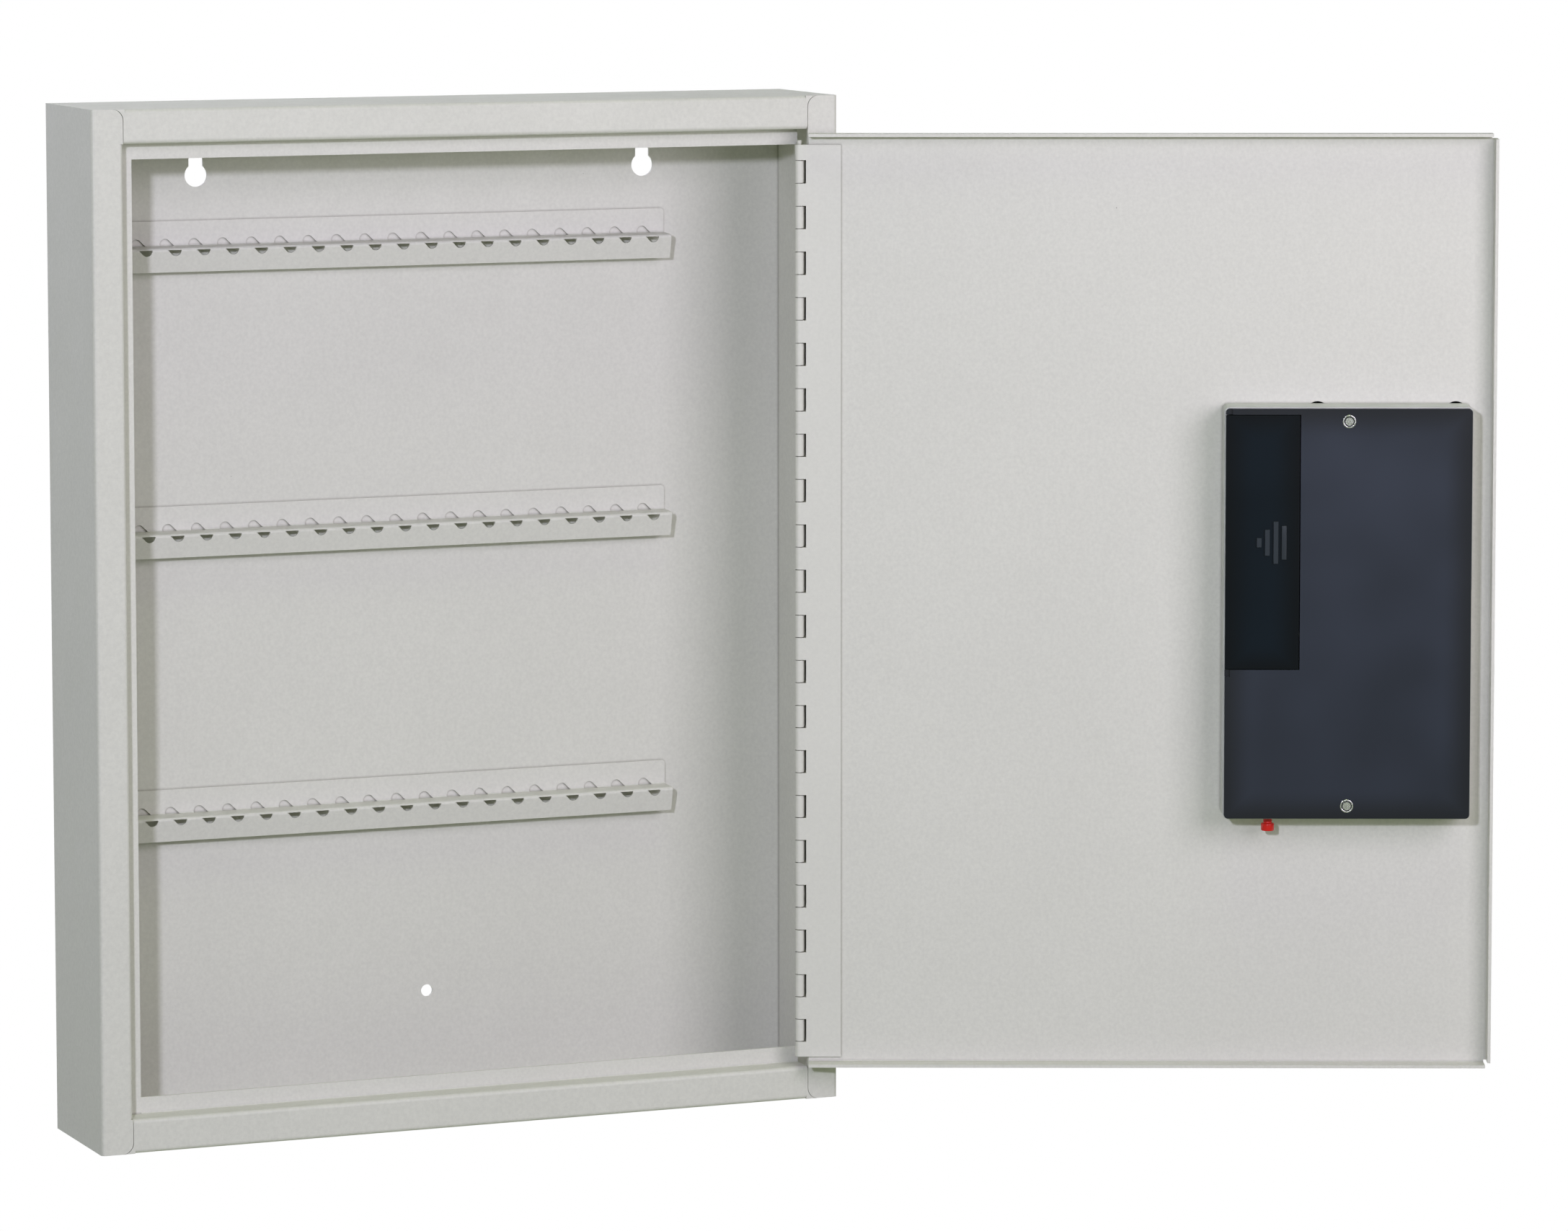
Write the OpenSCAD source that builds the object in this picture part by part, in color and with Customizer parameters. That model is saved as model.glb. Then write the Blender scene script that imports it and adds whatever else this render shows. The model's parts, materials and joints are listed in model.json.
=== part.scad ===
// Wall key cabinet with an electronic lock, shown with its door swung open.
// Millimetres. +Z is up, the front faces -Y, and the origin is the centre of the back face.

/* [Cabinet] */
// Overall width of the cabinet body
cab_w = 382; // [360:1:420]
// Overall height of the cabinet body
cab_h = 500; // [480:1:540]
// Overall depth of the cabinet body
cab_d = 74; // [70:1:100]
// Thickness of the body sheet
sheet = 1.2; // [1:0.1:1.5]
// Width of the front stiles
stile_w = 15.7; // [14:0.1:20]
// Height of the front rails
rail_h = 16.5; // [14:0.1:20]
// How far the landing stands into the opening
landing_w = 8; // [6:0.5:10]
// Depth of the landing behind the front face
landing_depth = 13; // [13:0.5:16]
// Radius of the corner where a stile meets a rail
seam_r = 5.5; // [4:0.5:7]

/* [Back panel] */
// Distance between the two keyholes
keyhole_span = 232.6; // [200:0.2:260]
// Height of the keyhole circles above the middle
keyhole_z = 213.7; // [200:0.1:216]
// Diameter of a keyhole's circle
keyhole_d = 11.4; // [10:0.1:12]
// Width of a keyhole's slot
keyhole_slot = 7.3; // [6:0.1:8]
// Depth of the lower fixing hole below the middle
lower_hole_z = 195; // [150:1:210]

/* [Hook strips] */
// Key places on each strip
hooks = 20; // [10:1:20]
// Distance between key places
hook_pitch = 14.6; // [14:0.1:16]
// Distance between strips
strip_pitch = 139; // [120:1:140]
// Height of the top edge of the upper strip
strip_top = 191.8; // [180:0.1:195]
// Sideways offset of the strips from the middle
strip_shift = -21.9; // [-30:0.1:0]
// Width of a slanted slot
slot_w = 5.5; // [4.5:0.1:6]

/* [Door] */
// Thickness of the door sheet
door_t = 1.5; // [1.2:0.1:2]
// Height of the door
door_h = 463.6; // [440:0.2:464]
// Distance from the hinge axis to the free edge
door_reach = 342.5; // [330:0.5:343]
// Depth of the door's folded edges
door_flange = 11.5; // [10:0.5:12]
// Angle by which the door is shown open
door_open = 156.7; // [0:0.1:170]

/* [Hinge] */
// Length of the hinge leaves
hinge_len = 454; // [450:1:456]
// Height of one body knuckle with its clearance
window_h = 11.5; // [11:0.5:12]
// Distance between body knuckles
knuckle_pitch = 22.5; // [22:0.5:22.5]
// Outer diameter of the knuckles
knuckle_d = 4.6; // [4.6:0.1:5]
// Diameter of the hinge pin
pin_d = 2.3; // [2:0.1:2.4]
// Reach of the door leaf from the hinge axis
leaf_w = 20.5; // [16:0.5:24]

/* [Lock] */
// Width of the lock box
lock_w = 121.6; // [120:0.2:122]
// Height of the lock box
lock_h = 203.6; // [202:0.2:206]
// Depth of the lock housing without its cover
housing_d = 22; // [22:0.5:24]
// Thickness of the rear cover and battery cover
cover_t = 2.5; // [2:0.1:3]
// Travel of the bolt
bolt_travel = 14; // [10:0.5:14]
// Height of the keypad frame in front of the door
keypad_d = 14; // [14:0.5:18]
// Diameter of the knob
knob_d = 40; // [34:1:42]
// Height of the knob
knob_h = 22; // [18:1:26]

/* [Hidden] */
$fn = 48;

// Colours
paint = [0.83, 0.83, 0.81];
paint_dark = [0.75, 0.76, 0.75];
black_plastic = [0.09, 0.1, 0.11];
steel = [0.7, 0.71, 0.72];
board_green = [0.1, 0.35, 0.2];
red_plastic = [0.75, 0.08, 0.06];
key_grey = [0.32, 0.33, 0.35];
coil_copper = [0.7, 0.4, 0.2];

// Bends
bend_steps = 6;
bend_r = 0.8 + sheet / 2;
over = 1;

// Cabinet body
side_x = cab_w / 2;
top_z = cab_h / 2;
open_x = side_x - stile_w;
open_z = top_z - rail_h;
landing_y = -cab_d + landing_depth;
seam_gap = 0.25;

// Hinge axis, in cabinet coordinates
axis_from_reveal = 4.5;
axis_from_face = 0.2;
hinge_x = open_x - axis_from_reveal;
hinge_y = -cab_d + axis_from_face;
hinge_drop = 1;
leaf_t = 1;
knuckle_r = knuckle_d / 2;
pin_r = pin_d / 2;
running_gap = 0.06;
knuckle_gap = 0.35;
hinge_top = hinge_len / 2 - hinge_drop;
hinge_bottom = -hinge_len / 2 - hinge_drop;
body_knuckles = floor((hinge_len - 2 * over - window_h) / knuckle_pitch) + 1;
first_knuckle = -hinge_drop - (body_knuckles - 1) * knuckle_pitch / 2;
pin_proud = 2.2;

// Door, in door coordinates: X runs from the hinge axis to the free edge, and -Y is inwards
face_y = axis_from_face;
skin_y = face_y - door_t;
door_edge = 4.6;
relief = 2.6;

// Lock box, in door coordinates
lock_x = 269.2;
lock_z = -3.2;
lock_left = lock_x - lock_w / 2;
lock_right = lock_x + lock_w / 2;
lock_top = lock_z + lock_h / 2;
lock_bottom = lock_z - lock_h / 2;
wall = 2;
lock_r = 2.5;
cover_inset = 0.5;
bay_right = 246;
bay_bottom = -12.6;
battery_open_top = 95.1;
battery_open_bottom = -30.7;
battery_open_right = 245.6;
slide_gap = 0.3;
battery_low = battery_open_bottom + slide_gap;
battery_high = battery_open_top - slide_gap;
tongue_h = 1.6;
tongue_root = 1.2;
tongue_t = 1;
tongue_drop = 0.1;
lift = 0.15;
tongue_spans = [[battery_low - tongue_h, battery_low + tongue_root],
    [battery_high - tongue_root, battery_high + tongue_h]];
root_spans = [[battery_low, battery_low + tongue_root], [battery_high - tongue_root, battery_high]];
screw_z = [lock_z + 95, lock_z - 95];
ring_r = 3.3;
ring_bore_r = 2.5;
head_r = 2;
cover_shank_r = 1.2;
boss_r = 3.5;
cover_notches = [[3.8, battery_open_top - over, battery_open_top + 4],
    [3, battery_open_bottom - 3.4, battery_open_bottom + 0.6]];
notch_floor = 1;
side_slot_z = [-82.4, -27.3];
side_slot_depth = [8, 14];
mount_screw_x = [225.8, 312];
mount_screw_z = [70, -70];
mount_shank_r = 1.6;
mount_hole_r = 2.2;
mount_head_r = 3.4;
mount_head_h = 2.2;
cable_x = 303;
cable_z = 40;
cable_hole_r = 6;
spare_hole_x = [255.2, 323.3];
spare_hole_z = 93.9;
spare_hole_r = 5.7;
reset_x = 231.2;
reset_depth = 12;
reset_stem_r = 2.15;

// Lock mechanism: depths are measured inwards from the door's inner skin
knob_x = 285;
knob_z = -0.9;
spindle_r = 4;
knob_hole_r = 7;
cam_r = 12;
cam_depth = 6.5;
cam_t = 3;
crank_r = bolt_travel / (2 * sin(45));
crank_pin_r = 2;
plate_depth = 10.8;
plate_t = 4;
plate_left = 250.5;
plate_right = 312;
bolt_bottom = -10;
bolt_top = 15.1;
head_depth = plate_depth + plate_t;
head_t = 6.8;
head_half = 9;
bolt_tip = lock_right - 0.4;
slot_clear = 0.5;
plunger_x = 270;
plunger_r = 2.5;
plunger_depth = plate_depth + plate_t / 2;
notch_w = 6;
notch_h = 5;
solenoid_bottom = 25;
solenoid_top = 49;
gate_t = 4;
gate_gap = 0.3;
plunger_low = bolt_top + 0.5;
flange_low = 3.7;
flange_t = 0.8;

// Cells
cell_r = 7.2;
cell_len = 49;
nub_len = 1.5;
cell_rows = [218.2, 233.4];
cell_depth = 10.3;
cell_bottom = -8.5;
cell_step = cell_len + nub_len;
cell_top = cell_bottom + 2 * cell_step;

// Keypad
pad_wall = 2.5;
pad_y = face_y + keypad_d;
pad_in_y = pad_y - pad_wall;
pad_grow = 4;
key_cols = [249.2, 269.2, 289.2];
key_rows = [78, 63, 48, 33];
key_w = 14.6;
key_h = 10.6;
key_gap = 0.3;
key_lip = 0.8;
key_proud = 1.3;
key_travel = 1;
mat_t = 1.2;
board_t = 1.6;
mat_y = pad_in_y - 0.1 - 1 - key_travel - 0.2;
board_y = mat_y - mat_t;
lens_r = 1.5;
lens_x = [259.2, 279.2];
lens_z = 90.5;
pad_board = [[234, 24], [307.5, 94]];
post_r = 2;
post_inset = 2.8;
lock_board = [[286, 24], [324, 58]];
board_depth = 4;
ribbon_w = 8;
ribbon_t = 1;

// ---------- Helpers ----------

function unit(v) = v / norm(v);
function left_of(d) = [-d[1], d[0]];
function turned(v, a) = [v[0] * cos(a) - v[1] * sin(a), v[0] * sin(a) + v[1] * cos(a)];

// Points and left normals along a bend of radius r at corner b
function bend_rays(a, b, c, r) =
    let (d0 = unit(b - a))
    let (d1 = unit(c - b))
    let (turn = atan2(d0[0] * d1[1] - d0[1] * d1[0], d0 * d1))
    let (side = sign(turn))
    let (centre = b - d0 * r * tan(abs(turn) / 2) + side * left_of(d0) * r)
    [for (k = [0:bend_steps]) let (n = turned(left_of(d0), turn * k / bend_steps))
        [centre - side * n * r, n]];

function fold_rays(path, r) =
    let (last = len(path) - 1)
    concat(
        [[path[0], left_of(unit(path[1] - path[0]))]],
        [for (i = [1:1:last - 1])
            each bend_rays(path[i - 1], path[i], path[i + 1], is_list(r) ? r[i - 1] : r)],
        [[path[last], left_of(unit(path[last] - path[last - 1]))]]);

// Cross-section of a folded sheet of thickness t whose centre line follows path.
// r is the radius of every bend, or a list with one radius for each.
module sheet_section(path, t, r) {
    rays = fold_rays(path, r);
    near = [for (q = rays) q[0] + q[1] * t / 2];
    far = [for (i = [len(rays) - 1:-1:0]) rays[i][0] - rays[i][1] * t / 2];
    polygon(concat(near, far));
}

// Outline in X and Z, thickened from y towards -Y
module front_plate(y, t) {
    translate([0, y, 0]) rotate([90, 0, 0]) linear_extrude(t) children();
}

// Outline in Y and Z, thickened along X between x0 and x1
module run_x(x0, x1) {
    translate([x0, 0, 0]) rotate([90, 0, 90]) linear_extrude(x1 - x0) children();
}

// Outline in X and Y, thickened along Z between z0 and z1
module run_z(z0, z1) {
    translate([0, 0, z0]) linear_extrude(z1 - z0) children();
}

module block(lo, hi) {
    translate(lo) cube(hi - lo);
}

module rounded_rect(lo, hi, r) {
    translate([lo[0] + r, lo[1]]) square([hi[0] - lo[0] - 2 * r, hi[1] - lo[1]]);
    translate([lo[0], lo[1] + r]) square([hi[0] - lo[0], hi[1] - lo[1] - 2 * r]);
    for (x = [lo[0] + r, hi[0] - r])
        for (z = [lo[1] + r, hi[1] - r])
            translate([x, z]) circle(r);
}

// Cylinder along Y, from y0 to y1
module pin_y(x, z, r, y0, y1) {
    translate([x, y1, z]) rotate([90, 0, 0]) cylinder(r = r, h = y1 - y0);
}

// Places children, drawn in door coordinates, on the open door
module on_door() {
    translate([hinge_x, hinge_y, 0]) rotate([0, 0, door_open - 180]) children();
}

// Depth inwards from the door's inner skin, as a door Y coordinate
function deep(d) = skin_y - d;

// Coil spring along +Z
function coil_ring(a, r, wire, lead, n) =
    [for (k = [0:n - 1]) let (b = 360 * k / n)
        [(r + wire * cos(b)) * cos(a), (r + wire * cos(b)) * sin(a),
            lead * a / 360 + wire * sin(b)]];

module coil_spring(r, wire, turns, length) {
    sides = 8;
    rings_per_turn = 16;
    count = turns * rings_per_turn;
    lead = (length - 2 * wire) / turns;
    points = [for (i = [0:count]) each coil_ring(360 * i / rings_per_turn, r, wire, lead, sides)];
    skin = [for (i = [0:count - 1]) for (k = [0:sides - 1])
        [i * sides + k, i * sides + (k + 1) % sides,
            (i + 1) * sides + (k + 1) % sides, (i + 1) * sides + k]];
    start = [[for (k = [sides - 1:-1:0]) k]];
    end = [[for (k = [0:sides - 1]) count * sides + k]];
    translate([0, 0, wire]) polyhedron(points, concat(skin, start, end));
}

// ---------- Cabinet body ----------

module stile_outline(grow) {
    difference() {
        translate([open_x - grow, -top_z]) square([stile_w + grow, cab_h]);
        for (side = [-1, 1])
            translate([open_x - grow, side * top_z])
                difference() {
                    square(2 * (seam_r - grow), center = true);
                    translate([seam_r - grow, -side * (seam_r - grow)]) circle(seam_r - grow);
                }
    }
}

// Side panel on the +X side: wall, stile and reveal, with a landing of the given width
module side_panel(reveal_low, reveal_high, landing) {
    mid = sheet / 2;
    wall_path = [[side_x - mid, 0], [side_x - mid, -cab_d + mid], [open_x + seam_r, -cab_d + mid]];
    edge = [open_x + seam_r, -cab_d + mid];
    corner = [open_x + mid, -cab_d + mid];
    reveal_end = [open_x + mid, landing_y + (landing > 0 ? mid : 0)];
    landing_end = [open_x - landing, landing_y + mid];
    run_z(-top_z, top_z) sheet_section(wall_path, sheet, bend_r);
    run_z(reveal_low, reveal_high)
        sheet_section(landing > 0 ? [edge, corner, reveal_end, landing_end]
            : [edge, corner, reveal_end], sheet, bend_r);
    front_plate(-cab_d + sheet, sheet) intersection() {
        stile_outline(0);
        union() {
            translate([open_x, reveal_high]) square([seam_r * 2, top_z - reveal_high]);
            translate([open_x, -top_z]) square([seam_r * 2, top_z + reveal_low]);
        }
    }
}

module left_side_panel() {
    color(paint_dark) mirror([1, 0, 0]) side_panel(-open_z, open_z, landing_w);
}

module right_side_panel() {
    color(paint_dark) side_panel(hinge_bottom, hinge_top, 0);
}

// Panel at the top: wall, front rail, reveal and landing between the side walls
module end_panel() {
    mid = sheet / 2;
    inner_x = side_x - sheet;
    wall_path = [[0, top_z - mid], [-cab_d + mid, top_z - mid],
        [-cab_d + mid, open_z + mid], [landing_y + mid, open_z + mid],
        [landing_y + mid, open_z - landing_w]];
    rail_reach = open_x - seam_gap;
    wall_only = [[0, top_z - mid], [-cab_d + sheet + over, top_z - mid]];
    run_x(-inner_x, inner_x) sheet_section(wall_only, sheet, bend_r);
    difference() {
        run_x(-rail_reach, rail_reach) sheet_section(wall_path, sheet, bend_r);
        block([-side_x, landing_y - over, open_z - 2 * landing_w],
            [-open_x + landing_w, landing_y + 2 * sheet, open_z]);
    }
    front_plate(-cab_d + sheet, sheet) difference() {
        for (side = [-1, 1])
            translate([side * (open_x + seam_r / 2 - over / 2), top_z - seam_r / 2])
                square([seam_r + over, seam_r], center = true);
        stile_outline(seam_gap);
        mirror([1, 0]) stile_outline(seam_gap);
    }
}

module top_panel() {
    color(paint) end_panel();
}

module bottom_panel() {
    color(paint) mirror([0, 0, 1]) end_panel();
}

module keyhole_outline() {
    top = 7.5;
    circle(keyhole_d / 2);
    translate([-keyhole_slot / 2, 0]) square([keyhole_slot, top]);
    translate([0, top]) circle(keyhole_slot / 2);
}

module back_panel() {
    half_x = side_x - sheet;
    half_z = top_z - sheet;
    color(paint) front_plate(0, sheet) difference() {
        square([2 * half_x, 2 * half_z], center = true);
        for (side = [-1, 1])
            translate([side * keyhole_span / 2, keyhole_z]) keyhole_outline();
        translate([0, -lower_hole_z]) circle(3);
    }
}

module strike_plate() {
    strike_t = 1.5;
    strike_half = 20.5;
    color(paint) block([-open_x, landing_y + sheet, -strike_half - 0.9],
        [-open_x + landing_w + 0.5, landing_y + sheet + strike_t, strike_half - 0.9]);
}

// One slanted slot, cut from the front but not through the shelf between the given heights
module slot_outline(shelf_base, shelf_top) {
    reach = 1.59;
    difference() {
        union() {
            rotate(-45) square([2 * reach, slot_w], center = true);
            for (side = [-1, 1])
                rotate(-45) translate([side * reach, 0]) circle(slot_w / 2);
        }
        translate([-slot_w, shelf_base]) square([2 * slot_w, shelf_top - shelf_base]);
    }
}

module hook_strip(top) {
    strip_t = 0.9;
    plate_h = 12;
    stand_off = 11;
    shelf_drop = 0.9;
    drop = 24.2;
    lean = 2.6;
    corner_r = 2;
    bends = [1.3, 1];
    slot_z = 12.45;
    half = (hooks - 1) * hook_pitch / 2 + 10.6;
    back_y = -sheet - strip_t / 2;
    path = [[back_y, top], [back_y, top - plate_h - strip_t / 2],
        [back_y - stand_off, top - plate_h - shelf_drop], [back_y - stand_off + lean, top - drop]];
    difference() {
        run_x(strip_shift - half, strip_shift + half) sheet_section(path, strip_t, bends);
        front_plate(0, 2 * stand_off) {
            for (i = [0:hooks - 1])
                translate([strip_shift + (i - (hooks - 1) / 2) * hook_pitch, top - slot_z])
                    slot_outline(slot_z - plate_h - shelf_drop - strip_t / 2, slot_z - plate_h);
            for (side = [-1, 1])
                translate([strip_shift + side * half, top]) difference() {
                    square(2 * corner_r, center = true);
                    translate([-side * corner_r, -corner_r]) circle(corner_r);
                }
        }
    }
}

module hook_strip_top() {
    color(paint) hook_strip(strip_top);
}

module hook_strip_middle() {
    color(paint) hook_strip(strip_top - strip_pitch);
}

module hook_strip_bottom() {
    color(paint) hook_strip(strip_top - 2 * strip_pitch);
}

// ---------- Piano hinge ----------

function knuckle_z(i) = first_knuckle + i * knuckle_pitch;

module hinge_leaf_body() {
    ring = knuckle_r - leaf_t / 2;
    leaf_x = open_x - leaf_t / 2;
    knuckle_h = window_h - 2 * knuckle_gap;
    web = [[hinge_x + ring, hinge_y], [hinge_x + ring, hinge_y + 0.9],
        [leaf_x, hinge_y + 3.2], [leaf_x, landing_y - 0.2]];
    color(paint) difference() {
        union() {
            block([open_x - leaf_t, hinge_y + 4.2, hinge_bottom],
                [open_x, landing_y - 0.2, hinge_top]);
            for (i = [0:body_knuckles - 1]) {
                run_z(knuckle_z(i) - knuckle_h / 2, knuckle_z(i) + knuckle_h / 2)
                    sheet_section(web, leaf_t, 0.6);
                translate([hinge_x, hinge_y, knuckle_z(i) - knuckle_h / 2])
                    cylinder(r = knuckle_r, h = knuckle_h);
            }
        }
        translate([hinge_x, hinge_y, hinge_bottom - over])
            cylinder(r = pin_r, h = hinge_len + 2 * over);
    }
}

module hinge_pin() {
    color(paint) translate([hinge_x, hinge_y, hinge_bottom])
        cylinder(r = pin_r, h = hinge_len + pin_proud);
}

module hinge_leaf_door() {
    window_x = 3.3;
    color(paint) on_door() difference() {
        union() {
            block([0, skin_y - leaf_t, hinge_bottom], [leaf_w, skin_y, hinge_top]);
            translate([0, 0, hinge_bottom]) cylinder(r = knuckle_r, h = hinge_len);
        }
        for (i = [0:body_knuckles - 1])
            block([-knuckle_d, -knuckle_d, knuckle_z(i) - window_h / 2],
                [window_x, knuckle_d, knuckle_z(i) + window_h / 2]);
        translate([0, 0, hinge_bottom - over])
            cylinder(r = pin_r + running_gap, h = hinge_len + 2 * over);
    }
}

// ---------- Door ----------

module door_panel() {
    mid = door_t / 2;
    mid_y = face_y - mid;
    rim_y = face_y - door_flange;
    half = door_h / 2;
    flat = 4;
    edge_path = [[mid_y, half - 2 * flat], [mid_y, half - mid], [rim_y, half - mid]];
    free_path = [[door_reach - 2 * flat, mid_y], [door_reach - mid, mid_y], [door_reach - mid, rim_y]];
    color(paint) on_door() difference() {
        union() {
            block([door_edge, skin_y, -half + flat], [door_reach - flat, face_y, half - flat]);
            for (side = [0, 1])
                mirror([0, 0, side]) run_x(door_edge, door_reach - relief)
                    sheet_section(edge_path, door_t, 0.5 + mid);
            run_z(-half + relief, half - relief) sheet_section(free_path, door_t, 0.5 + mid);
        }
        for (x = spare_hole_x)
            pin_y(x, spare_hole_z, spare_hole_r, skin_y - over, face_y + over);
        pin_y(knob_x, knob_z, knob_hole_r, skin_y - over, face_y + over);
        pin_y(cable_x, cable_z, cable_hole_r, skin_y - over, face_y + over);
        for (x = mount_screw_x)
            for (z = mount_screw_z)
                pin_y(x, z, mount_hole_r, skin_y - over, face_y + over);
    }
}

// ---------- Lock box ----------

module lock_outline(inset, r) {
    rounded_rect([lock_left + inset, lock_bottom + inset], [lock_right - inset, lock_top - inset], r);
}

// Small pad that a cell lies on
module cell_rest(x, z) {
    half_w = 3;
    half_h = 1.5;
    block([x - half_w, deep(cell_depth - cell_r - 0.05), z - half_h], [x + half_w, deep(1), z + half_h]);
}

module lock_housing() {
    back = deep(housing_d);
    color(paint) on_door() difference() {
        union() {
            difference() {
                front_plate(skin_y, housing_d) lock_outline(0, lock_r);
                front_plate(deep(wall), housing_d) lock_outline(wall, 1);
            }
            block([bay_right, back, bay_bottom - wall], [bay_right + wall, deep(1), lock_top - 1]);
            block([lock_left + 1, back, bay_bottom - wall], [bay_right + 1, deep(1), bay_bottom]);
            for (z = screw_z)
                pin_y(lock_x, z, boss_r, back, deep(1));
            for (x = [lock_board[0][0] + post_inset, lock_board[1][0] - post_inset])
                for (z = [lock_board[0][1] + post_inset, lock_board[1][1] - post_inset])
                    pin_y(x, z, post_r, deep(board_depth), deep(1));
            for (x = cell_rows)
                for (k = [0:3])
                    cell_rest(x, cell_bottom + cell_step * (k + 0.5) / 2);
        }
        block([lock_right - wall - over, back - over, knob_z - head_half - slot_clear],
            [lock_right + over, deep(head_depth - 0.4), knob_z + head_half + slot_clear]);
        block([lock_left - over, deep(side_slot_depth[1]), side_slot_z[0]],
            [lock_left + wall + 0.5, deep(side_slot_depth[0]), side_slot_z[1]]);
        for (span = tongue_spans)
            block([lock_left - over, back - over, span[0] - slide_gap],
                [lock_left + wall + 0.5, back + tongue_drop + tongue_t + slide_gap, span[1] + slide_gap]);
        pin_y(knob_x, knob_z, spindle_r + running_gap, deep(wall + over), skin_y + over);
        pin_y(cable_x, cable_z, cable_hole_r, deep(wall + over), skin_y + over);
        for (x = mount_screw_x)
            for (z = mount_screw_z)
                pin_y(x, z, mount_hole_r, deep(wall + over), skin_y + over);
        for (z = screw_z)
            pin_y(lock_x, z, cover_shank_r, back - over, deep(wall + over));
        translate([reset_x, deep(reset_depth), lock_bottom - over])
            cylinder(r = reset_stem_r + running_gap, h = wall + 2 * over);
    }
}

module rear_cover() {
    back = deep(housing_d);
    color(black_plastic) on_door() difference() {
        front_plate(back, cover_t) difference() {
            lock_outline(cover_inset, 2);
            translate([lock_left - over, battery_open_bottom])
                square([battery_open_right - lock_left + over, battery_open_top - battery_open_bottom]);
        }
        for (notch = cover_notches)
            block([lock_left - over, back - cover_t - over, notch[1]],
                [lock_left + notch[0], back - notch_floor, notch[2]]);
        for (z = screw_z) {
            pin_y(lock_x, z, 1.6, back - cover_t - over, back + over);
            pin_y(lock_x, z, ring_r, back - cover_t - over, back - cover_t + 0.8);
        }
    }
}

module battery_cover() {
    back = deep(housing_d);
    left = lock_left + cover_inset;
    right = battery_open_right - slide_gap - 0.1;
    ridge_x = [225.4, 229.4, 233.6, 237.6];
    ridge_half = [2.3, 6.4, 10.4, 8.3];
    ridge_z = 32.2;
    ridge_w = 2.4;
    ridge_t = 0.9;
    color(black_plastic) on_door() {
        block([left, back - cover_t, battery_low], [right, back - lift, battery_high]);
        for (i = [0:3])
            block([ridge_x[i] - ridge_w / 2, back - cover_t - ridge_t, ridge_z - ridge_half[i]],
                [ridge_x[i] + ridge_w / 2, back - cover_t, ridge_z + ridge_half[i]]);
        for (span = tongue_spans)
            block([lock_left + wall + 1.5, back + tongue_drop, span[0]],
                [right - 6, back + tongue_drop + tongue_t, span[1]]);
        for (span = root_spans)
            block([lock_left + wall + 1.5, back - lift, span[0]], [right - 6, back + tongue_drop, span[1]]);
    }
}

module cover_screws() {
    back = deep(housing_d + cover_t);
    color(steel) on_door() for (z = screw_z)
        difference() {
            union() {
                pin_y(lock_x, z, head_r, back - 0.5, back + 0.8);
                pin_y(lock_x, z, cover_shank_r, back + 0.7, back + 14);
            }
            for (turn = [0, 90])
                translate([lock_x, back - 0.5, z]) rotate([0, turn, 0]) cube([2.6, 0.9, 0.6], center = true);
        }
}

module screw_rings() {
    back = deep(housing_d + cover_t);
    color(steel) on_door() for (z = screw_z)
        difference() {
            pin_y(lock_x, z, ring_r - 0.02, back - 0.25, back + 0.8);
            pin_y(lock_x, z, ring_bore_r, back - over, back + over);
        }
}

// ---------- Power ----------

module cell(x, z, up) {
    translate([x, deep(cell_depth), z + (up ? 0 : cell_step)]) mirror([0, 0, up ? 0 : 1]) {
        cylinder(r = cell_r, h = cell_len);
        cylinder(r = 2.7, h = cell_step);
    }
}

module batteries() {
    color([0.16, 0.3, 0.5]) on_door() for (row = [0, 1])
        for (k = [0, 1])
            cell(cell_rows[row], cell_bottom + k * cell_step + 0.02 * k, row == 0);
}

// Plate with a stepped coil for the flat end of a cell and a dimple for the raised end
module contact(x, z, coil, direction) {
    reach = 3.4;
    translate([x, deep(cell_depth), z]) mirror([0, 0, direction < 0 ? 1 : 0]) {
        translate([0, 0, reach]) linear_extrude(0.6) square(12, center = true);
        if (coil) {
            for (k = [0:4])
                translate([0, 0, 0.45 + k * 0.7]) rotate_extrude()
                    translate([2.4 + k * 0.4, 0]) circle(0.42);
        } else {
            translate([0, 0, 0.05]) cylinder(r = 1.6, h = reach);
        }
    }
}

module battery_contacts() {
    color(steel) on_door() {
        for (row = [0, 1]) {
            contact(cell_rows[row], cell_top + 0.05, row == 1, 1);
            contact(cell_rows[row], cell_bottom - 0.05, row == 0, -1);
        }
        block([cell_rows[0], deep(cell_depth + 2), cell_top + 3.45],
            [cell_rows[1], deep(cell_depth - 2), cell_top + 4.05]);
    }
}

// ---------- Electronics ----------

module control_board() {
    top = board_depth + board_t;
    chips = [[[290, 46], [299, 56], 3], [[309, 47], [321, 55], 2.6], [[289, 27], [295, 33], 4]];
    color(board_green) on_door() {
        block([lock_board[0][0], deep(top), lock_board[0][1]],
            [lock_board[1][0], deep(board_depth), lock_board[1][1]]);
        for (chip = chips)
            block([chip[0][0], deep(top + chip[2]), chip[0][1]], [chip[1][0], deep(top), chip[1][1]]);
    }
}

module ribbon_cable() {
    color([0.6, 0.6, 0.58]) on_door()
        block([cable_x - ribbon_w / 2, deep(board_depth), cable_z - ribbon_t / 2],
            [cable_x + ribbon_w / 2, board_y - board_t, cable_z + ribbon_t / 2]);
}

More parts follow.
